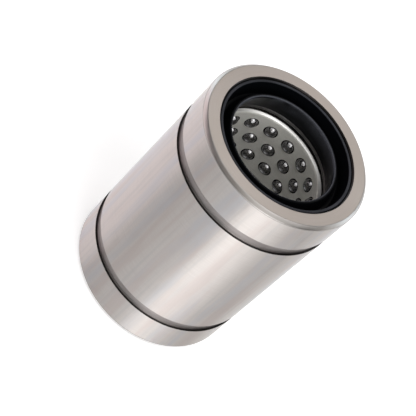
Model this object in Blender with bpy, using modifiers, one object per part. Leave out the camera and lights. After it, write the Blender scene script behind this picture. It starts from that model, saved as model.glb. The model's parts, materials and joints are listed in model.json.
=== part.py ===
"""A sealed slide-rotary ball bushing for a 20 mm shaft, with limited stroke.

A ground steel sleeve holds a perforated cage with three staggered rows of balls. The cage turns
and slides freely between two thrust rings; a snap ring keeps each thrust ring in the sleeve, and a
rubber seal closes each end.

The bushing stands on its rear end face at z = 0 with its axis on +Z. All lengths are in metres.
"""
import math

import bmesh
import bpy
from mathutils import Matrix

MM = 0.001
PART_NAME = "slide_rotary_bushing"

# Sleeve. Depths are measured from either end face towards the middle, unless they say otherwise.
LENGTH = 45.0 * MM
SLEEVE_RADIUS = 16.0 * MM
OUTER_CHAMFER = 0.6 * MM
CLIP_GROOVE_DEPTH = 7.0 * MM
CLIP_GROOVE_WIDTH = 2.05 * MM
CLIP_GROOVE_RADIUS = 15.4 * MM
MOUTH_CHAMFER = 0.2 * MM
COUNTERBORE_RADIUS = 13.0 * MM
SHOULDER_DEPTH = 6.5 * MM
SNAP_GROOVE_START = 4.95 * MM
SNAP_GROOVE_END = 5.8 * MM
SNAP_GROOVE_RADIUS = 13.5 * MM

# Balls
SHAFT_RADIUS = 10.0 * MM
BALL_RADIUS = 1.25 * MM
BALL_ROWS = 3
BALLS_PER_ROW = 17
ROW_PITCH = 3.73 * MM
FIRST_ROW_DEPTH = 9.95 * MM
FIRST_BALL_ANGLE = math.radians(88.0)
PITCH_CIRCLE = SHAFT_RADIUS + BALL_RADIUS
RACE_CLEARANCE = 0.05 * MM
RACE_RADIUS = PITCH_CIRCLE + BALL_RADIUS + RACE_CLEARANCE

# Cage, at the front end of its travel
CAGE_DEPTH = 7.05 * MM
CAGE_LENGTH = 13.6 * MM
CAGE_BORE = 10.78 * MM
CAGE_OUTER = 12.15 * MM
CAGE_CHAMFER = 0.5 * MM
CAGE_CHAMFER_LENGTH = 0.3 * MM
POCKET_LIP = 1.21 * MM
POCKET_RADIUS = 1.31 * MM
POCKET_LIP_THICKNESS = 0.05 * MM
POCKET_SIDES = 12
CUTTER_OVERRUN = 0.5 * MM

# Thrust rings, snap rings and seals
RUNNING_GAP = 0.1 * MM
THRUST_INNER = 11.23 * MM
THRUST_OUTER = 12.85 * MM
THRUST_START = 5.85 * MM
SNAP_INNER = 11.6 * MM
SNAP_OUTER = 13.43 * MM
SNAP_START = 5.0 * MM
SNAP_END = 5.75 * MM
SNAP_OPENING = 7.0 * MM
SEAL_OUTER = 12.9 * MM
SEAL_LIP = 9.95 * MM
SEAL_DEPTH = 0.3 * MM
SEAL_EDGE = 0.15 * MM
SEAL_RIM = 0.55 * MM
SEAL_RECESS_DEPTH = 3.4 * MM
SEAL_RECESS_INNER = 11.2 * MM
SEAL_RECESS_TAPER = 0.3 * MM
SEAL_LIP_DEPTH = 1.2 * MM
SEAL_LIP_THICKNESS = 0.6 * MM
SEAL_LIP_SLOPE = 0.05 * MM
SEAL_LIP_BEVEL = 0.25 * MM
SEAL_LIP_BEVEL_DEPTH = 0.4 * MM
SEAL_SKIRT_DEPTH = 5.7 * MM
SEAL_SKIRT_OUTER = 11.45 * MM
SEAL_SKIRT_INNER = 11.18 * MM

SLEEVE_SEGMENTS = 48
CAGE_SEGMENTS = 2 * BALLS_PER_ROW
RING_SEGMENTS = 36
SMOOTH_ANGLE = math.radians(30.0)


def clear_scene():
    for thing in list(bpy.data.objects):
        bpy.data.objects.remove(thing, do_unlink=True)


def new_collection(name):
    collection = bpy.data.collections.new(name)
    bpy.context.scene.collection.children.link(collection)
    return collection


def material(name, colour, roughness, metallic):
    made = bpy.data.materials.new(name)
    made.use_nodes = True
    shader = made.node_tree.nodes["Principled BSDF"]
    shader.inputs["Base Color"].default_value = (*colour, 1.0)
    shader.inputs["Roughness"].default_value = roughness
    shader.inputs["Metallic"].default_value = metallic
    return made


def smooth(mesh):
    mesh.shade_smooth()
    mesh.set_sharp_from_angle(angle=SMOOTH_ANGLE)


def turned(name, profile, segments, finish, collection):
    """A ring turned from a closed profile of (radius, z) points that runs down its outer side."""
    mesh = bpy.data.meshes.new(name)
    points = [(radius, 0.0, z) for radius, z in profile]
    edges = [(i, (i + 1) % len(points)) for i in range(len(points))]
    mesh.from_pydata(points, edges, [])
    mesh.materials.append(finish)
    ring = bpy.data.objects.new(name, mesh)
    collection.objects.link(ring)
    screw = ring.modifiers.new("Turn", "SCREW")
    screw.axis = "Z"
    screw.steps = segments
    screw.render_steps = segments
    screw.use_merge_vertices = True
    screw.merge_threshold = 0.001 * MM
    screw.use_smooth_shade = True
    return ring


def front_to_rear(profile):
    """The same profile at the other end: mirrored in z, and still running down its outer side."""
    return [(radius, LENGTH - z) for radius, z in reversed(profile)]


def from_face(points):
    """Profile points given as (radius, depth from the front face)."""
    return [(radius, LENGTH - depth) for radius, depth in points]


def make_sleeve(collection, finish):
    groove_end = CLIP_GROOVE_DEPTH + CLIP_GROOVE_WIDTH
    outside = [
        (SLEEVE_RADIUS - OUTER_CHAMFER, 0.0),
        (SLEEVE_RADIUS, OUTER_CHAMFER),
        (SLEEVE_RADIUS, CLIP_GROOVE_DEPTH),
        (CLIP_GROOVE_RADIUS, CLIP_GROOVE_DEPTH),
        (CLIP_GROOVE_RADIUS, groove_end),
        (SLEEVE_RADIUS, groove_end),
    ]
    inside = [
        (RACE_RADIUS, SHOULDER_DEPTH),
        (COUNTERBORE_RADIUS, SHOULDER_DEPTH),
        (COUNTERBORE_RADIUS, SNAP_GROOVE_END),
        (SNAP_GROOVE_RADIUS, SNAP_GROOVE_END),
        (SNAP_GROOVE_RADIUS, SNAP_GROOVE_START),
        (COUNTERBORE_RADIUS, SNAP_GROOVE_START),
        (COUNTERBORE_RADIUS, MOUTH_CHAMFER),
        (COUNTERBORE_RADIUS + MOUTH_CHAMFER, 0.0),
    ]
    front_outside = from_face(outside)
    front_inside = from_face(inside)
    profile = front_outside + front_to_rear(front_outside)
    profile += front_to_rear(front_inside) + front_inside
    return turned("outer_sleeve", profile, SLEEVE_SEGMENTS, finish, collection)


def make_seals(collection, finish):
    """A stiff outer rim, a deep annular recess, and a lip that leans inwards to wipe the shaft."""
    body_end = SNAP_START - RUNNING_GAP
    front = from_face([
        (SEAL_OUTER - SEAL_EDGE, SEAL_DEPTH),
        (SEAL_OUTER, SEAL_DEPTH + SEAL_EDGE),
        (SEAL_OUTER, body_end),
        (SEAL_SKIRT_OUTER, body_end),
        (SEAL_SKIRT_OUTER, SEAL_SKIRT_DEPTH),
        (SEAL_SKIRT_INNER, SEAL_SKIRT_DEPTH),
        (SEAL_LIP, SEAL_LIP_DEPTH + SEAL_LIP_BEVEL_DEPTH),
        (SEAL_LIP + SEAL_LIP_BEVEL, SEAL_LIP_DEPTH),
        (SEAL_LIP + SEAL_LIP_THICKNESS, SEAL_LIP_DEPTH + SEAL_LIP_SLOPE),
        (SEAL_RECESS_INNER, SEAL_RECESS_DEPTH),
        (SEAL_OUTER - SEAL_RIM - SEAL_RECESS_TAPER, SEAL_RECESS_DEPTH),
        (SEAL_OUTER - SEAL_RIM, SEAL_DEPTH),
    ])
    turned("front_seal", front, RING_SEGMENTS, finish, collection)
    turned("rear_seal", front_to_rear(front), RING_SEGMENTS, finish, collection)


def make_thrust_rings(collection, finish):
    end = SHOULDER_DEPTH - RUNNING_GAP
    front = from_face([
        (THRUST_OUTER, THRUST_START),
        (THRUST_OUTER, end),
        (THRUST_INNER, end),
        (THRUST_INNER, THRUST_START),
    ])
    turned("front_thrust_ring", front, RING_SEGMENTS, finish, collection)
    turned("rear_thrust_ring", front_to_rear(front), RING_SEGMENTS, finish, collection)


def make_snap_rings(collection, cutters, finish):
    front = from_face([
        (SNAP_OUTER, SNAP_START),
        (SNAP_OUTER, SNAP_END),
        (SNAP_INNER, SNAP_END),
        (SNAP_INNER, SNAP_START),
    ])
    for name, profile in (("front_snap_ring", front), ("rear_snap_ring", front_to_rear(front))):
        ring = turned(name, profile, RING_SEGMENTS, finish, collection)
        middle_z = (profile[0][1] + profile[1][1]) / 2
        cut(ring, box_cutter(name + "_opening", middle_z, cutters))


def box_cutter(name, middle_z, cutters):
    """A block across a ring's wall on the -Y side, which opens the ring into a C.

    It is twice the wall's size each way, because the wall curves across the opening.
    """
    mesh = bpy.data.meshes.new(name)
    block = bmesh.new()
    bmesh.ops.create_cube(block, size=1.0)
    reach = 2 * (SNAP_OUTER - SNAP_INNER)
    thickness = 2 * (SNAP_END - SNAP_START)
    bmesh.ops.scale(block, vec=(SNAP_OPENING, reach, thickness), verts=block.verts)
    block.to_mesh(mesh)
    block.free()
    cutter = bpy.data.objects.new(name, mesh)
    cutter.location = (0.0, -(SNAP_OUTER + SNAP_INNER) / 2, middle_z)
    return as_cutter(cutter, cutters)


def as_cutter(cutter, cutters):
    cutters.objects.link(cutter)
    cutter.hide_render = True
    cutter.display_type = "WIRE"
    return cutter


def cut(target, cutter):
    boolean = target.modifiers.new("Cut " + cutter.name, "BOOLEAN")
    boolean.operation = "DIFFERENCE"
    boolean.solver = "EXACT"
    boolean.object = cutter


def ball_places():
    """Row number, ball number, angle about the axis and height of each ball."""
    pitch = 2 * math.pi / BALLS_PER_ROW
    for row in range(BALL_ROWS):
        stagger = pitch / 2 if row % 2 else 0.0
        z = LENGTH - FIRST_ROW_DEPTH - row * ROW_PITCH
        for ball in range(BALLS_PER_ROW):
            yield row + 1, ball + 1, FIRST_BALL_ANGLE + stagger + ball * pitch, z


def pocket_cutters(cutters):
    """One mesh with a stepped plug for each pocket: a narrow lip at the bore, wide outside it."""
    to_flat = 1 / math.cos(math.pi / POCKET_SIDES)
    plugs = bmesh.new()
    for _, _, angle, z in ball_places():
        outwards = Matrix.Rotation(angle, 4, "Z") @ Matrix.Rotation(math.pi / 2, 4, "Y")
        lift = Matrix.Translation((0.0, 0.0, z))
        profile = [
            (POCKET_LIP, CAGE_BORE - CUTTER_OVERRUN),
            (POCKET_LIP, CAGE_BORE + POCKET_LIP_THICKNESS),
            (POCKET_RADIUS, PITCH_CIRCLE),
            (POCKET_RADIUS, CAGE_OUTER + CUTTER_OVERRUN),
        ]
        add_plug(plugs, lift @ outwards, profile, to_flat)
    mesh = bpy.data.meshes.new("pockets")
    plugs.to_mesh(mesh)
    plugs.free()
    return as_cutter(bpy.data.objects.new("pockets", mesh), cutters)


def add_plug(plugs, place, profile, to_flat):
    """A closed plug along the place's own +Z, with a ring of corners at each profile point."""
    rings = []
    for radius, along in profile:
        ring = []
        for side in range(POCKET_SIDES):
            turn = 2 * math.pi * side / POCKET_SIDES
            x = radius * to_flat * math.cos(turn)
            y = radius * to_flat * math.sin(turn)
            corner = place @ Matrix.Translation((x, y, along))
            ring.append(plugs.verts.new(corner.translation))
        rings.append(ring)
    for lower, upper in zip(rings, rings[1:]):
        for side in range(POCKET_SIDES):
            after = (side + 1) % POCKET_SIDES
            plugs.faces.new((lower[side], lower[after], upper[after], upper[side]))
    plugs.faces.new(list(reversed(rings[0])))
    plugs.faces.new(rings[-1])


def make_cage(collection, cutters, finish):
    front = LENGTH - CAGE_DEPTH
    rear = front - CAGE_LENGTH
    profile = [
        (CAGE_OUTER, front),
        (CAGE_OUTER, rear),
        (CAGE_BORE + CAGE_CHAMFER, rear),
        (CAGE_BORE, rear + CAGE_CHAMFER_LENGTH),
        (CAGE_BORE, front - CAGE_CHAMFER_LENGTH),
        (CAGE_BORE + CAGE_CHAMFER, front),
    ]
    cage = turned("ball_cage", profile, CAGE_SEGMENTS, finish, collection)
    cut(cage, pocket_cutters(cutters))
    return cage


def ball_mesh(finish):
    mesh = bpy.data.meshes.new("ball")
    ball = bmesh.new()
    bmesh.ops.create_icosphere(ball, subdivisions=2, radius=BALL_RADIUS)
    ball.to_mesh(mesh)
    ball.free()
    mesh.materials.append(finish)
    smooth(mesh)
    return mesh


def make_balls(collection, carrier, finish):
    """Balls that share one mesh, each turned so that its own X points out from the axis."""
    mesh = ball_mesh(finish)
    for row, number, angle, z in ball_places():
        ball = bpy.data.objects.new(f"ball_{row}_{number:02d}", mesh)
        ball.location = (PITCH_CIRCLE * math.cos(angle), PITCH_CIRCLE * math.sin(angle), z)
        ball.rotation_euler = (0.0, 0.0, angle)
        ball.parent = carrier
        collection.objects.link(ball)


def main():
    clear_scene()
    parts = new_collection(PART_NAME)
    cutters = new_collection("cutters")
    ground_steel = material("ground_steel", (0.62, 0.58, 0.55), 0.35, 1.0)
    ring_steel = material("ring_steel", (0.42, 0.41, 0.40), 0.4, 1.0)
    cage_alloy = material("cage_alloy", (0.42, 0.40, 0.36), 0.45, 1.0)
    ball_steel = material("ball_steel", (0.55, 0.55, 0.56), 0.1, 1.0)
    seal_rubber = material("seal_rubber", (0.02, 0.02, 0.023), 0.45, 0.0)

    make_sleeve(parts, ground_steel)
    make_seals(parts, seal_rubber)
    make_snap_rings(parts, cutters, ring_steel)
    make_thrust_rings(parts, ring_steel)

    carrier = bpy.data.objects.new("cage_carrier", None)
    parts.objects.link(carrier)
    cage = make_cage(parts, cutters, cage_alloy)
    cage.parent = carrier
    make_balls(parts, carrier, ball_steel)


main()
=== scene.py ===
import json
import math

import bmesh
import bpy
from mathutils import Matrix, Vector


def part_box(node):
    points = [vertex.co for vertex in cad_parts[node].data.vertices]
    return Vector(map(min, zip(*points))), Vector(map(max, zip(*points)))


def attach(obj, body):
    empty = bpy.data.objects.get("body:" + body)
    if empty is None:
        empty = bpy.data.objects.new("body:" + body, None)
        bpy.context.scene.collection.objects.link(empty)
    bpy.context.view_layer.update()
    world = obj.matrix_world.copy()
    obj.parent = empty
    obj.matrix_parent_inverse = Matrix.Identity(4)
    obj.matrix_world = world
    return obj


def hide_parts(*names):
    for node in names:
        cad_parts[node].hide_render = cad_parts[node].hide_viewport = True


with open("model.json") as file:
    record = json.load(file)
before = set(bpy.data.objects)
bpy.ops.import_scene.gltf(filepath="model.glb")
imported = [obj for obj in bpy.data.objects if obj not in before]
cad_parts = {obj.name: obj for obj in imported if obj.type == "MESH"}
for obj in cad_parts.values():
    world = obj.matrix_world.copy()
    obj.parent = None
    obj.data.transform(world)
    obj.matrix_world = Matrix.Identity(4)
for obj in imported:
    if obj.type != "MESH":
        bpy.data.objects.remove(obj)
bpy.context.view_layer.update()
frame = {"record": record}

MM = 0.001
RECORD = frame["record"]
BEHAVIOUR = RECORD["behaviour"]

# Read from the frame: the pieces' boxes and the clip grooves' outer walls. A depth runs from an
# end face of the sleeve towards its middle.
SLEEVE_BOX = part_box("outer_sleeve")
LENGTH = SLEEVE_BOX[1][2]
SLEEVE_RADIUS = SLEEVE_BOX[1][0]
MOUNTS = {mount["name"]: Vector(mount["pos_m"]) for mount in RECORD["mounts"]}
GROOVE_DEPTH = MOUNTS["rear_clip_groove_wall"].z
CAGE_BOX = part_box("ball_cage")
CAGE_FRONT = LENGTH - CAGE_BOX[1][2]
CAGE_REAR = LENGTH - CAGE_BOX[0][2]
CAGE_OUTER = CAGE_BOX[1][0]
THRUST_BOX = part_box("front_thrust_ring")
THRUST_START = LENGTH - THRUST_BOX[1][2]
THRUST_END = LENGTH - THRUST_BOX[0][2]
SNAP_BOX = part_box("front_snap_ring")
SNAP_START = LENGTH - SNAP_BOX[1][2]
SNAP_END = LENGTH - SNAP_BOX[0][2]

# Sizes that no box or mount shows.
GROOVE_WIDTH = 2.05 * MM
GROOVE_RADIUS = 15.4 * MM
CAGE_BORE = 10.78 * MM
RACE_RADIUS = 12.55 * MM
COUNTERBORE_RADIUS = 13.0 * MM
SHOULDER_DEPTH = 6.5 * MM
SNAP_GROOVE_RADIUS = 13.5 * MM
SNAP_GROOVE_START = 4.95 * MM
SNAP_GROOVE_END = 5.8 * MM
SEAL_LIP_RADIUS = 9.95 * MM
BALL_RADIUS = 1.25 * MM

# Between the counterbore's mouth and the clip grooves, which share a finish.
MOUTH_LIMIT = COUNTERBORE_RADIUS + MM

TURNED_STEPS = 256
FILLET_STEPS = 4
FILLET_SHARE = 0.45
SHARP_ANGLE = math.radians(32.0)


# ---- Shapes ------------------------------------------------------------------------------------

def rounded(corners):
    """A closed profile from (radius, depth, fillet) corners, with each corner cut to an arc.

    A fillet takes at most FILLET_SHARE of the sides beside it.
    """
    points = []
    count = len(corners)
    for i, (radius, depth, fillet) in enumerate(corners):
        corner = Vector((radius, depth))
        before = Vector(corners[i - 1][:2]) - corner
        after = Vector(corners[(i + 1) % count][:2]) - corner
        if fillet == 0:
            points.append(corner)
            continue
        half = before.angle(after) / 2
        most = FILLET_SHARE * min(before.length, after.length)
        reach = min(fillet / math.tan(half), most)
        arc_radius = reach * math.tan(half)
        bisector = (before.normalized() + after.normalized()).normalized()
        centre = corner + bisector * arc_radius / math.sin(half)
        start = corner + before.normalized() * reach - centre
        end = corner + after.normalized() * reach - centre
        sweep = start.angle_signed(end)
        for step in range(FILLET_STEPS + 1):
            turn = Matrix.Rotation(-sweep * step / FILLET_STEPS, 2)
            points.append(centre + turn @ start)
    return points


def at_front(points):
    return [(p[0], LENGTH - p[1]) for p in points]


def at_rear(points):
    return [(p[0], p[1]) for p in reversed(points)]


def settled(rough, name):
    """The object that a modifier stack leaves, as a plain mesh with crisp edges kept."""
    graph = bpy.context.evaluated_depsgraph_get()
    mesh = bpy.data.meshes.new_from_object(rough.evaluated_get(graph))
    mesh.name = name
    bpy.data.objects.remove(rough, do_unlink=True)
    piece = bpy.data.objects.new(name, mesh)
    bpy.context.scene.collection.objects.link(piece)
    mesh.shade_smooth()
    mesh.set_sharp_from_angle(angle=SHARP_ANGLE)
    return piece


def turned(name, profile, steps=TURNED_STEPS, sweep=2 * math.pi):
    """A solid of revolution about Z, from a closed profile that runs down its outer side."""
    mesh = bpy.data.meshes.new(name)
    edges = [(i, (i + 1) % len(profile)) for i in range(len(profile))]
    mesh.from_pydata([(radius, 0.0, z) for radius, z in profile], edges, [])
    rough = bpy.data.objects.new(name, mesh)
    bpy.context.scene.collection.objects.link(rough)
    screw = rough.modifiers.new("Turn", "SCREW")
    screw.axis = "Z"
    screw.angle = sweep
    screw.steps = steps
    screw.render_steps = steps
    screw.use_merge_vertices = True
    screw.merge_threshold = 0.0001 * MM
    screw.use_smooth_shade = True
    return rough


def weigh_normals(piece):
    """Flat and round faces keep their own shading, and only the small fillets blend."""
    weigh = piece.modifiers.new("Weigh", "WEIGHTED_NORMAL")
    weigh.keep_sharp = True
    weigh.weight = 100


def fit_to_frame(piece, node, body, finish):
    piece.data.materials.clear()
    piece.data.materials.append(finish)
    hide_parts(node)
    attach(piece, body)


# ---- Material helpers --------------------------------------------------------------------------

def new_material(name, **sockets):
    """A Principled material; each keyword sets one of its sockets, with _ for a space."""
    material = bpy.data.materials.new(name)
    material.use_nodes = True
    shader = material.node_tree.nodes["Principled BSDF"]
    for key, value in sockets.items():
        socket = shader.inputs[key.replace("_", " ")]
        socket.default_value = (*value, 1.0) if isinstance(value, tuple) else value
    return material, material.node_tree, shader


def node(tree, kind, inputs=(), **settings):
    """Adds a node. inputs are (socket, value or the output that feeds it)."""
    made = tree.nodes.new(kind)
    for key, value in settings.items():
        setattr(made, key, value)
    for socket, value in inputs:
        if isinstance(value, bpy.types.NodeSocket):
            tree.links.new(value, made.inputs[socket])
        else:
            made.inputs[socket].default_value = value
    return made


def maths(tree, operation, first, second=0.0):
    return node(tree, "ShaderNodeMath", [(0, first), (1, second)], operation=operation).outputs[0]


def place(tree):
    """The object's own x, y and z, its distance from the axis, and all three together."""
    coords = node(tree, "ShaderNodeTexCoord").outputs["Object"]
    split = node(tree, "ShaderNodeSeparateXYZ", [(0, coords)])
    x, y, z = split.outputs
    across = maths(tree, "ADD", maths(tree, "MULTIPLY", x, x), maths(tree, "MULTIPLY", y, y))
    return coords, x, y, z, maths(tree, "SQRT", across)


def noise(tree, vector, scale, detail=3.0, roughness=0.55):
    inputs = [("Vector", vector), ("Scale", scale), ("Detail", detail), ("Roughness", roughness)]
    return node(tree, "ShaderNodeTexNoise", inputs).outputs["Fac"]


def stretched(tree, coords, scale):
    return node(tree, "ShaderNodeMapping", [("Vector", coords), ("Scale", scale)]).outputs[0]


def lathe_lines(tree, pitch, drift=0.02):
    """Fine lines round the axis, on a cylinder, a cone or an end face alike."""
    _, x, y, z, radius = place(tree)
    along = maths(tree, "MULTIPLY", maths(tree, "ADD", z, radius), 1.0 / pitch)
    around_x = maths(tree, "MULTIPLY", x, drift / pitch)
    around_y = maths(tree, "MULTIPLY", y, drift / pitch)
    line_place = node(tree, "ShaderNodeCombineXYZ", [(0, around_x), (1, around_y), (2, along)])
    return noise(tree, line_place.outputs[0], 1.0, detail=4.0, roughness=0.6)


def spread(tree, value, low, high, span=(0.3, 0.7)):
    """Value, scaled so that the span runs from low to high, and held at both ends."""
    inputs = [("Value", value), ("From Min", span[0]), ("From Max", span[1]),
              ("To Min", low), ("To Max", high)]
    return node(tree, "ShaderNodeMapRange", inputs).outputs[0]


def blend(tree, factor, first, second):
    """Colour between two others. Each may be a colour or a colour output."""
    mix = node(tree, "ShaderNodeMix", data_type="RGBA")
    for socket, value in ((0, factor), (6, first), (7, second)):
        if isinstance(value, bpy.types.NodeSocket):
            tree.links.new(value, mix.inputs[socket])
        elif socket:
            mix.inputs[socket].default_value = (*value, 1.0)
        else:
            mix.inputs[socket].default_value = value
    return mix.outputs[2]


def bump(tree, shader, height, strength, distance):
    inputs = [("Height", height), ("Strength", strength), ("Distance", distance)]
    made = node(tree, "ShaderNodeBump", inputs)
    tree.links.new(made.outputs[0], shader.inputs["Normal"])


def round_axis(tree, shader):
    """Turns the shader's brushed highlight with the axis."""
    tangent = node(tree, "ShaderNodeTangent", direction_type="RADIAL", axis="Z")
    tree.links.new(tangent.outputs[0], shader.inputs["Tangent"])


# ---- Materials ---------------------------------------------------------------------------------

def ground_steel():
    """Cylindrically ground steel: hair-fine lines round it, and bands of rose and blue along it."""
    material, tree, shader = new_material(
        "ground_steel", Metallic=1.0, Anisotropic=0.93, Anisotropic_Rotation=0.25)
    round_axis(tree, shader)
    coords = place(tree)[0]
    lines = lathe_lines(tree, pitch=0.12 * MM)
    streaks = noise(tree, stretched(tree, coords, (1.0, 1.0, 0.03)), scale=1400.0, detail=4.0)
    rose_bands = noise(tree, stretched(tree, coords, (1.0, 1.0, 0.05)), scale=420.0, detail=4.0)
    blue_bands = noise(tree, stretched(tree, coords, (1.0, 1.0, 0.08)), scale=300.0, detail=5.0)
    clouds = noise(tree, coords, scale=90.0, detail=3.0)
    colour = blend(tree, spread(tree, lines, 0.0, 1.0), (0.50, 0.465, 0.445), (0.58, 0.55, 0.53))
    streak_share = spread(tree, streaks, 0.0, 0.5, span=(0.5, 0.62))
    colour = blend(tree, streak_share, colour, (0.46, 0.445, 0.44))
    rose_share = spread(tree, rose_bands, 0.0, 0.7, span=(0.52, 0.62))
    colour = blend(tree, rose_share, colour, (0.50, 0.44, 0.42))
    blue_share = spread(tree, blue_bands, 0.0, 0.7, span=(0.5, 0.62))
    colour = blend(tree, blue_share, colour, (0.47, 0.475, 0.50))
    colour = blend(tree, spread(tree, clouds, 0.0, 0.3), colour, (0.56, 0.52, 0.495))
    tree.links.new(colour, shader.inputs["Base Color"])
    tree.links.new(spread(tree, lines, 0.44, 0.54), shader.inputs["Roughness"])
    bump(tree, shader, lines, strength=0.12, distance=0.01 * MM)
    return material


def turned_metal(name, light, dark, cloud, roughness, pitch):
    """Metal cut on a lathe: tool lines round it, with drifting clouds of another shade."""
    material, tree, shader = new_material(name, Metallic=1.0, Anisotropic=0.5)
    round_axis(tree, shader)
    coords = place(tree)[0]
    lines = lathe_lines(tree, pitch)
    clouds = noise(tree, coords, scale=160.0, detail=4.0)
    fine = blend(tree, spread(tree, lines, 0.0, 1.0), dark, light)
    clouded = blend(tree, spread(tree, clouds, 0.0, 0.5), fine, cloud)
    tree.links.new(clouded, shader.inputs["Base Color"])
    tree.links.new(spread(tree, lines, *roughness), shader.inputs["Roughness"])
    bump(tree, shader, lines, strength=0.2, distance=0.012 * MM)
    return material


def faced_steel():
    return turned_metal("faced_steel", light=(0.495, 0.46, 0.438), dark=(0.425, 0.39, 0.37),
                        cloud=(0.445, 0.405, 0.375), roughness=(0.42, 0.56), pitch=0.16 * MM)


def chamfer_steel():
    # The outer chamfers' darker tone is partly a turned finish and partly painted shade.
    return turned_metal("chamfer_steel", light=(0.37, 0.35, 0.335), dark=(0.30, 0.28, 0.265),
                        cloud=(0.32, 0.30, 0.285), roughness=(0.26, 0.36), pitch=0.1 * MM)


def honed_race():
    return turned_metal("honed_race", light=(0.62, 0.61, 0.60), dark=(0.52, 0.51, 0.50),
                        cloud=(0.5, 0.49, 0.48), roughness=(0.14, 0.22), pitch=0.08 * MM)


def ring_steel():
    return turned_metal("ring_steel", light=(0.24, 0.235, 0.235), dark=(0.16, 0.155, 0.155),
                        cloud=(0.19, 0.18, 0.17), roughness=(0.3, 0.42), pitch=0.1 * MM)


def cage_edge():
    return turned_metal("cage_edge", light=(0.82, 0.81, 0.79), dark=(0.70, 0.69, 0.67),
                        cloud=(0.73, 0.71, 0.68), roughness=(0.3, 0.4), pitch=0.08 * MM)


def groove_steel():
    """Turned, not ground: a darker, patchy grey on a clip groove's floor, and painted black shade
    on its walls.

    The painted black shade also covers the wall at the counterbore's mouth.
    """
    material, tree, shader = new_material(
        "groove_steel", Metallic=1.0, Anisotropic=0.9, Anisotropic_Rotation=0.25)
    round_axis(tree, shader)
    coords, _, _, _, radius = place(tree)
    lines = lathe_lines(tree, pitch=0.15 * MM)
    clouds = noise(tree, coords, scale=260.0, detail=4.0)
    floor_grey = blend(tree, spread(tree, lines, 0.0, 1.0), (0.29, 0.265, 0.258), (0.37, 0.342, 0.333))
    patchy = blend(tree, spread(tree, clouds, 0.0, 0.6), floor_grey, (0.26, 0.233, 0.226))
    # Painted shade: the walls of each clip groove and the counterbore's mouth turn near-black.
    wall_span = (GROOVE_RADIUS + 0.04 * MM, GROOVE_RADIUS + 0.26 * MM)
    mouth_span = (MOUTH_LIMIT, MOUTH_LIMIT + 0.1 * MM)
    on_wall = spread(tree, radius, 0.0, 1.0, span=wall_span)
    in_mouth = spread(tree, radius, 1.0, 0.0, span=mouth_span)
    painted_shade = maths(tree, "MAXIMUM", on_wall, in_mouth)
    colour = blend(tree, painted_shade, patchy, (0.032, 0.029, 0.028))
    tree.links.new(colour, shader.inputs["Base Color"])
    tree.links.new(spread(tree, clouds, 0.36, 0.5), shader.inputs["Roughness"])
    bump(tree, shader, lines, strength=0.25, distance=0.015 * MM)
    return material


def cage_alloy():
    """Turned and drilled light alloy, with soft tool lines and a matte, grained skin."""
    material, tree, shader = new_material("cage_alloy", Metallic=0.35, Anisotropic=0.3)
    round_axis(tree, shader)
    coords = place(tree)[0]
    lines = lathe_lines(tree, pitch=0.14 * MM)
    clouds = noise(tree, coords, scale=350.0, detail=4.0)
    grain = noise(tree, coords, scale=3200.0, detail=2.0)
    fine = blend(tree, spread(tree, lines, 0.0, 1.0), (0.80, 0.79, 0.73), (0.90, 0.89, 0.84))
    grained = blend(tree, spread(tree, grain, 0.0, 0.5), fine, (0.70, 0.69, 0.65))
    clouded = blend(tree, spread(tree, clouds, 0.0, 0.5), grained, (0.82, 0.81, 0.77))
    tree.links.new(clouded, shader.inputs["Base Color"])
    tree.links.new(spread(tree, clouds, 0.5, 0.62), shader.inputs["Roughness"])
    bump(tree, shader, grain, strength=0.25, distance=0.02 * MM)
    return material


def pocket_shade():
    """Painted shade: near-black and mottled, on the pockets' walls and the cage's end faces."""
    material, tree, shader = new_material("pocket_shade", Metallic=0.0, Specular_IOR_Level=0.2)
    # The noise film only mottles the painted shade.
    film = noise(tree, place(tree)[0], scale=900.0, detail=3.0)
    shade_mix = spread(tree, film, 0.0, 1.0)
    tree.links.new(blend(tree, shade_mix, (0.012, 0.0115, 0.011), (0.035, 0.033, 0.03)),
                   shader.inputs["Base Color"])
    tree.links.new(spread(tree, film, 0.2, 0.35), shader.inputs["Roughness"])
    bump(tree, shader, film, strength=0.2, distance=0.01 * MM)
    return material


def ball_steel():
    """Lapped bearing steel with a thin, uneven film of oil."""
    material, tree, shader = new_material("ball_steel", Metallic=1.0)
    coords = place(tree)[0]
    smears = noise(tree, stretched(tree, coords, (1.0, 2.2, 1.0)), scale=900.0, detail=3.0)
    scuffs = noise(tree, coords, scale=9000.0, detail=2.0)
    smeared = spread(tree, smears, 0.0, 1.0)
    tree.links.new(blend(tree, smeared, (0.26, 0.26, 0.272), (0.36, 0.355, 0.355)),
                   shader.inputs["Base Color"])
    tree.links.new(spread(tree, smears, 0.13, 0.22), shader.inputs["Roughness"])
    bump(tree, shader, scuffs, strength=0.02, distance=0.001 * MM)
    return material


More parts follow.
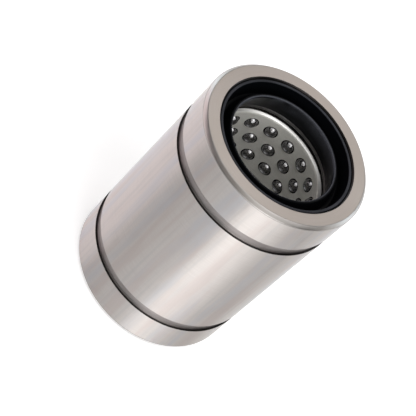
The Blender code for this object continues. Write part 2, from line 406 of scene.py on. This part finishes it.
def seal_rubber():
    """Moulded nitrile rubber: black, recess included, with painted grey-blue highlights on lip and
    rim and a painted sheen near the lip.
    """
    material, tree, shader = new_material(
        "seal_rubber", Metallic=0.0, IOR=1.5, Specular_IOR_Level=0.03)
    coords, _, _, z, radius = place(tree)
    depth = maths(tree, "MINIMUM", z, maths(tree, "SUBTRACT", LENGTH, z))
    grain = noise(tree, coords, scale=7000.0, detail=3.0)
    patches = noise(tree, coords, scale=110.0, detail=3.0)
    grained = spread(tree, grain, 0.0, 1.0)
    black = blend(tree, grained, (0.0012, 0.0014, 0.002), (0.003, 0.0035, 0.0045))
    cone_slope = 0.3
    lean = maths(tree, "SUBTRACT", radius, maths(tree, "MULTIPLY", depth, cone_slope))
    on_cone = spread(tree, lean, 1.0, 0.0, span=(9.72 * MM, SEAL_LIP_RADIUS))
    # Painted highlights: a grey-blue line at the lip's edge and at the rim, and a patchy painted
    # sheen on the cone below the lip.
    near_lip = spread(tree, depth, 0.55, 0.0, span=(1.6 * MM, 4.4 * MM))
    lip_line = spread(tree, depth, 1.0, 0.0, span=(1.3 * MM, 1.5 * MM))
    rim_line = spread(tree, depth, 0.6, 0.0, span=(0.32 * MM, 0.45 * MM))
    patchy = spread(tree, patches, 0.05, 1.0, span=(0.42, 0.58))
    sheen = maths(tree, "MULTIPLY", near_lip, patchy)
    lip_and_cone_highlight = maths(tree, "MULTIPLY", on_cone, maths(tree, "MAXIMUM", lip_line, sheen))
    rim_highlight = maths(tree, "MULTIPLY", rim_line, spread(tree, patches, 0.4, 1.0))
    painted_highlight = maths(tree, "MAXIMUM", rim_highlight, lip_and_cone_highlight)
    painted_highlight = maths(tree, "MULTIPLY", painted_highlight, spread(tree, grain, 0.5, 1.0))
    # The painted highlights lift the black rubber towards grey-blue.
    tree.links.new(blend(tree, painted_highlight, black, (0.115, 0.12, 0.14)), shader.inputs["Base Color"])
    tree.links.new(spread(tree, patches, 0.3, 0.42), shader.inputs["Roughness"])
    bump(tree, shader, grain, strength=0.2, distance=0.008 * MM)
    return material


# ---- Pieces ------------------------------------------------------------------------------------

def make_sleeve(finishes):
    """The sleeve, with softly broken edges, square clip grooves and a honed raceway."""
    edge = 0.06 * MM
    soft = 0.35 * MM
    chamfer = 0.6 * MM
    groove_end = GROOVE_DEPTH + GROOVE_WIDTH
    groove_edge = 0.04 * MM
    root = 0.05 * MM
    mouth = 0.2 * MM
    outside = [
        (SLEEVE_RADIUS - chamfer, 0.0, soft),
        (SLEEVE_RADIUS, chamfer, soft),
        (SLEEVE_RADIUS, GROOVE_DEPTH, groove_edge),
        (GROOVE_RADIUS, GROOVE_DEPTH, root),
        (GROOVE_RADIUS, groove_end, root),
        (SLEEVE_RADIUS, groove_end, groove_edge),
    ]
    inside = [
        (RACE_RADIUS, SHOULDER_DEPTH, edge),
        (COUNTERBORE_RADIUS, SHOULDER_DEPTH, 0.0),
        (COUNTERBORE_RADIUS, SNAP_GROOVE_END, 0.0),
        (SNAP_GROOVE_RADIUS, SNAP_GROOVE_END, 0.0),
        (SNAP_GROOVE_RADIUS, SNAP_GROOVE_START, 0.0),
        (COUNTERBORE_RADIUS, SNAP_GROOVE_START, 0.0),
        (COUNTERBORE_RADIUS, mouth, edge),
        (COUNTERBORE_RADIUS + mouth, 0.0, edge),
    ]
    far = [(radius, LENGTH - depth, fillet) for radius, depth, fillet in reversed(outside)]
    near = [(radius, LENGTH - depth, fillet) for radius, depth, fillet in reversed(inside)]
    profile = at_front(rounded(outside + far + near + inside))
    piece = settled(turned("sleeve_ground_shell", profile), "sleeve_ground_shell")
    weigh_normals(piece)
    fit_to_frame(piece, "outer_sleeve", "sleeve", finishes["ground"])
    order = ("ground", "faced", "chamfer", "groove", "race")
    for name in order[1:]:
        piece.data.materials.append(finishes[name])
    for face in piece.data.polygons:
        face.material_index = order.index(sleeve_zone(face.center))


def sleeve_zone(centre):
    """Which finish a point on the sleeve's surface has, from where it lies."""
    radius = math.hypot(centre.x, centre.y)
    depth = min(centre.z, LENGTH - centre.z)
    touch = 0.02 * MM
    mouth_reach = 0.19 * MM
    chamfer_depth = 0.75 * MM
    outside_touch = 0.001 * MM
    bore_reach = 0.6 * MM
    if radius < RACE_RADIUS + touch:
        return "race"
    in_groove = GROOVE_DEPTH - touch < depth < GROOVE_DEPTH + GROOVE_WIDTH + touch
    if in_groove and MOUTH_LIMIT < radius < SLEEVE_RADIUS - touch:
        return "groove"
    if depth < touch:
        return "faced"
    # The counterbore's mouth takes the groove finish and its painted black shade.
    if radius < COUNTERBORE_RADIUS + mouth_reach and depth < SNAP_START - touch:
        return "groove"
    if depth < chamfer_depth and radius < SLEEVE_RADIUS - outside_touch:
        return "chamfer"
    return "faced" if radius < COUNTERBORE_RADIUS + bore_reach else "ground"


def make_seals(rubber):
    """The seals: an outer rim, a deep recess, a leaning lip, and a skirt inside the snap ring."""
    edge, skirt_edge, lip_edge, recess_fillet = 0.1 * MM, 0.06 * MM, 0.12 * MM, 0.35 * MM
    outer, rim_outer, rim_inner = 12.9 * MM, 12.75 * MM, 12.35 * MM
    rim_top, outer_top, body_end = 0.3 * MM, 0.45 * MM, 4.8 * MM
    skirt_outer, skirt_inner, skirt_end = 11.45 * MM, 11.2 * MM, 5.68 * MM
    recess_outer, recess_end = 12.05 * MM, 3.4 * MM
    lip_back, lip_top, land_end = 1.62 * MM, 1.2 * MM, 1.25 * MM
    lip_bevel, lip_land, lip_root = 0.22 * MM, 0.6 * MM, 1.25 * MM
    land_fillet = 0.15 * MM
    profile = rounded([
        (rim_outer, rim_top, lip_edge),
        (outer, outer_top, edge),
        (outer, body_end, edge),
        (skirt_outer, body_end, edge),
        (skirt_outer, skirt_end, skirt_edge),
        (skirt_inner, skirt_end, skirt_edge),
        (SEAL_LIP_RADIUS, lip_back, lip_edge),
        (SEAL_LIP_RADIUS + lip_bevel, lip_top, lip_edge),
        (SEAL_LIP_RADIUS + lip_land, land_end, land_fillet),
        (SEAL_LIP_RADIUS + lip_root, recess_end, recess_fillet),
        (recess_outer, recess_end, recess_fillet),
        (rim_inner, rim_top, lip_edge),
    ])
    for end, points in (("front", at_front(profile)), ("rear", at_rear(profile))):
        name = end + "_seal_lip"
        piece = settled(turned(name, points), name)
        weigh_normals(piece)
        fit_to_frame(piece, end + "_seal", "sleeve", rubber)


def make_thrust_rings(steel):
    edge = 0.08 * MM
    outer, inner = 12.85 * MM, 11.23 * MM
    profile = rounded([
        (outer, THRUST_START, edge),
        (outer, THRUST_END, edge),
        (inner, THRUST_END, edge),
        (inner, THRUST_START, edge),
    ])
    for end, points in (("front", at_front(profile)), ("rear", at_rear(profile))):
        name = end + "_thrust_washer"
        piece = settled(turned(name, points), name)
        weigh_normals(piece)
        fit_to_frame(piece, end + "_thrust_ring", "thrust_rings", steel)


def make_snap_rings(steel):
    """Internal snap rings: a plain C of round-edged spring steel."""
    edge = 0.1 * MM
    outer, inner, middle = 13.43 * MM, 11.6 * MM, 12.5 * MM
    opening = 7.0 * MM
    gap_angle = opening / middle
    steps = 192
    profile = rounded([
        (outer, SNAP_START, edge),
        (outer, SNAP_END, edge),
        (inner, SNAP_END, edge),
        (inner, SNAP_START, edge),
    ])
    for end, points in (("front", at_front(profile)), ("rear", at_rear(profile))):
        name = end + "_snap_ring_wire"
        rough = turned(name, points, steps=steps, sweep=2 * math.pi - gap_angle)
        piece = settled(rough, name)
        cap_ends(piece)
        piece.data.transform(Matrix.Rotation(-math.pi / 2 + gap_angle / 2, 4, "Z"))
        weigh_normals(piece)
        fit_to_frame(piece, end + "_snap_ring", "sleeve", steel)


def cap_ends(piece):
    """Closes the two open ends of a ring that stops short of a full turn."""
    shape = bmesh.new()
    shape.from_mesh(piece.data)
    bmesh.ops.holes_fill(shape, edges=[edge for edge in shape.edges if edge.is_boundary])
    bmesh.ops.recalc_face_normals(shape, faces=shape.faces)
    shape.to_mesh(piece.data)
    shape.free()


def ball_joints():
    """Each ball's body and its centre, from the joints that the balls roll on."""
    for joint in BEHAVIOUR["joints"]:
        if joint["child"].startswith("ball_"):
            yield joint["child"], Vector(joint["pos_m"])


def pocket_plugs(name):
    """A plug for each pocket: flared at the bore, a narrow lip, then wide enough for the ball."""
    sides = 40
    flare, mouth, lip, throat, room = 1.36 * MM, 1.31 * MM, 1.25 * MM, 1.29 * MM, 1.31 * MM
    plugs = bmesh.new()
    for _, centre in ball_joints():
        pitch = math.hypot(centre.x, centre.y)
        angle = math.atan2(centre.y, centre.x)
        profile = [
            (flare, CAGE_BORE - 0.2 * MM),
            (mouth, CAGE_BORE - 0.01 * MM),
            (lip, CAGE_BORE + 0.2 * MM),
            (throat, CAGE_BORE + 0.35 * MM),
            (room, pitch),
            (room, CAGE_OUTER + 0.3 * MM),
        ]
        outwards = Matrix.Rotation(angle, 4, "Z") @ Matrix.Rotation(math.pi / 2, 4, "Y")
        frame_of_pocket = Matrix.Translation((0.0, 0.0, centre.z)) @ outwards
        rings = []
        for radius, along in profile:
            circle = bmesh.ops.create_circle(
                plugs, segments=sides, radius=radius,
                matrix=frame_of_pocket @ Matrix.Translation((0.0, 0.0, along)))
            rings.append(circle["verts"])
        for lower, upper in zip(rings, rings[1:]):
            for side in range(sides):
                after = (side + 1) % sides
                plugs.faces.new((lower[side], lower[after], upper[after], upper[side]))
        plugs.faces.new(list(reversed(rings[0])))
        plugs.faces.new(rings[-1])
    bmesh.ops.recalc_face_normals(plugs, faces=plugs.faces)
    mesh = bpy.data.meshes.new(name)
    plugs.to_mesh(mesh)
    plugs.free()
    plug = bpy.data.objects.new(name, mesh)
    bpy.context.scene.collection.objects.link(plug)
    return plug


def make_cage(finishes):
    """The cage, with a bright turned chamfer at each end of its bore and a pocket for each ball."""
    edge = 0.03 * MM
    chamfer = 0.55 * MM
    foot, foot_depth = 0.12 * MM, 0.26 * MM
    roll, roll_depth = 0.15 * MM, 0.5 * MM
    pockets_round, steps_per_pocket = 17, 16
    profile = at_front(rounded([
        (CAGE_OUTER, CAGE_FRONT, edge),
        (CAGE_OUTER, CAGE_REAR, edge),
        (CAGE_BORE + chamfer, CAGE_REAR, edge),
        (CAGE_BORE + foot, CAGE_REAR - foot_depth, edge),
        (CAGE_BORE, CAGE_REAR - roll_depth, roll),
        (CAGE_BORE, CAGE_FRONT + roll_depth, roll),
        (CAGE_BORE + foot, CAGE_FRONT + foot_depth, edge),
        (CAGE_BORE + chamfer, CAGE_FRONT, edge),
    ]))
    rough = turned("cage_drilled_shell", profile, steps=pockets_round * steps_per_pocket)
    plugs = pocket_plugs("pocket_plugs")
    drill = rough.modifiers.new("Drill", "BOOLEAN")
    drill.operation = "DIFFERENCE"
    drill.solver = "EXACT"
    drill.object = plugs
    piece = settled(rough, "cage_drilled_shell")
    bpy.data.objects.remove(plugs, do_unlink=True)
    weigh_normals(piece)
    fit_to_frame(piece, "ball_cage", "cage", finishes["turned"])
    order = ("turned", "edge", "pocket")
    for name in order[1:]:
        piece.data.materials.append(finishes[name])
    for face in piece.data.polygons:
        face.material_index = order.index(cage_zone(face))


def cage_zone(face):
    """Which finish a face of the cage has: bright chamfers, pockets and ends in painted shade, or
    plain.
    """
    chamfer_depth, chamfer_reach = 0.2 * MM, 0.56 * MM
    end_touch = 0.02 * MM
    pocket_depth, bore_touch = 1.0 * MM, 0.002 * MM
    turned_facing = 0.97
    outwards = Vector((face.center.x, face.center.y, 0.0))
    radius = outwards.length
    depth = min(LENGTH - CAGE_FRONT - face.center.z, face.center.z - (LENGTH - CAGE_REAR))
    if depth < chamfer_depth and radius < CAGE_BORE + chamfer_reach:
        return "edge"
    if depth < end_touch:
        return "pocket"
    facing = abs(face.normal.dot(outwards / radius))
    if facing < turned_facing and depth > pocket_depth and radius > CAGE_BORE + bore_touch:
        return "pocket"
    return "turned"


def make_balls(steel):
    mesh = bpy.data.meshes.new("lapped_ball")
    shape = bmesh.new()
    bmesh.ops.create_uvsphere(shape, u_segments=40, v_segments=24, radius=BALL_RADIUS)
    shape.to_mesh(mesh)
    shape.free()
    mesh.shade_smooth()
    mesh.materials.append(steel)
    for body, centre in ball_joints():
        ball = bpy.data.objects.new(body + "_lapped", mesh)
        ball.location = centre
        ball.rotation_euler = (0.0, math.radians(90.0), math.atan2(centre.y, centre.x))
        bpy.context.scene.collection.objects.link(ball)
        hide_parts(body)
        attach(ball, body)


# ---- Studio ------------------------------------------------------------------------------------

def make_floor():
    mesh = bpy.data.meshes.new("studio_floor")
    shape = bmesh.new()
    bmesh.ops.create_grid(shape, x_segments=1, y_segments=1, size=3.0)
    shape.to_mesh(mesh)
    shape.free()
    floor = bpy.data.objects.new("studio_floor", mesh)
    bpy.context.scene.collection.objects.link(floor)
    white, _, _ = new_material(
        "studio_white", Base_Color=(0.8, 0.8, 0.8), Roughness=0.9,
        Emission_Color=(1.0, 1.0, 1.0), Emission_Strength=0.42)
    mesh.materials.append(white)


def softbox(name, azimuth, elevation, size, radiance, colour):
    """A soft light aimed at the bushing's middle. Azimuth 0 is in front of it, 90 on its right."""
    turn, rise = math.radians(azimuth), math.radians(elevation)
    level = math.cos(rise)
    away = Vector((math.sin(turn) * level, -math.cos(turn) * level, math.sin(rise)))
    light = bpy.data.lights.new(name, "AREA")
    light.shape = "RECTANGLE"
    light.size, light.size_y = size
    light.energy = radiance * math.pi * size[0] * size[1]
    light.color = colour
    lamp = bpy.data.objects.new(name, light)
    lamp.location = Vector((0.0, 0.0, LENGTH / 2)) + away * SOFTBOX_DISTANCE
    lamp.rotation_euler = away.to_track_quat("Z", "Y").to_euler()
    lamp.visible_camera = False
    bpy.context.scene.collection.objects.link(lamp)


NEUTRAL = (1.0, 1.0, 1.0)
COOL = (0.84, 0.94, 1.0)
PALE_ROSE = (1.0, 0.87, 0.9)
WARM = (1.0, 0.95, 0.9)
STRIP = (0.175, 0.30)
SOFTBOX_DISTANCE = 0.5

# Name, azimuth, elevation, (width, height), radiance and colour of each softbox.
SOFTBOXES = (
    ("left_edge", -130, 13, STRIP, 3.0, COOL),
    ("left_bank", -100, 13, (0.35, 0.30), 2.0, PALE_ROSE),
    ("left_near", -70, 13, STRIP, 2.0, PALE_ROSE),
    ("front_fill", 0, 13, (0.35, 0.30), 0.5, COOL),
    ("key", 30, 13, STRIP, 4.5, NEUTRAL),
    ("key_edge", 50, 13, STRIP, 2.5, NEUTRAL),
    ("right_bank", 110, 13, STRIP, 1.0, WARM),
    ("right_edge", 130, 13, STRIP, 3.0, COOL),
    ("high_front", 0, 45, (0.5, 0.24), 0.5, WARM),
    ("high_right", 60, 45, (0.5, 0.24), 1.5, NEUTRAL),
    ("upper_right", 70, 66, (0.25, 0.2), 1.5, NEUTRAL),
    ("overhead", 0, 76, (0.6, 0.3), 1.5, NEUTRAL),
    ("back_wall", 180, 48, (0.5, 0.3), 1.5, WARM),
)


def make_lights():
    world = bpy.data.worlds.new("studio")
    world.use_nodes = True
    sky = world.node_tree.nodes["Background"]
    sky.inputs["Color"].default_value = (0.97, 0.98, 1.0, 1.0)
    sky.inputs["Strength"].default_value = 0.05
    bpy.context.scene.world = world
    for name, azimuth, elevation, size, radiance, colour in SOFTBOXES:
        softbox(name, azimuth, elevation, size, radiance, colour)


def make_camera():
    """A long lens from 45 degrees above, rolled so that the bushing's axis runs up to the right."""
    elevation = math.radians(44.81)
    roll = math.radians(46.49)
    distance = 237.8 * MM
    right_of_centre = 13.24 * MM
    above_centre = 10.55 * MM
    turn = Matrix.Rotation(math.pi / 2 - elevation, 4, "X") @ Matrix.Rotation(roll, 4, "Z")
    face_centre = Vector((0.0, 0.0, LENGTH))
    data = bpy.data.cameras.new("view")
    data.lens = 125.5
    data.sensor_width = 36.0
    data.clip_start = 0.01
    data.clip_end = 20.0
    camera = bpy.data.objects.new("view", data)
    offset = turn @ Vector((right_of_centre, above_centre, -distance))
    camera.matrix_world = Matrix.Translation(face_centre - offset) @ turn
    bpy.context.scene.collection.objects.link(camera)
    bpy.context.scene.camera = camera


def main():
    steel_ring = ring_steel()
    make_camera()
    make_sleeve({"ground": ground_steel(), "faced": faced_steel(), "chamfer": chamfer_steel(),
                 "groove": groove_steel(), "race": honed_race()})
    make_seals(seal_rubber())
    make_thrust_rings(steel_ring)
    make_snap_rings(steel_ring)
    make_cage({"turned": cage_alloy(), "edge": cage_edge(), "pocket": pocket_shade()})
    make_balls(ball_steel())
    make_floor()
    make_lights()
    bpy.context.scene.view_settings.view_transform = "Standard"


main()
bpy.context.view_layer.update()
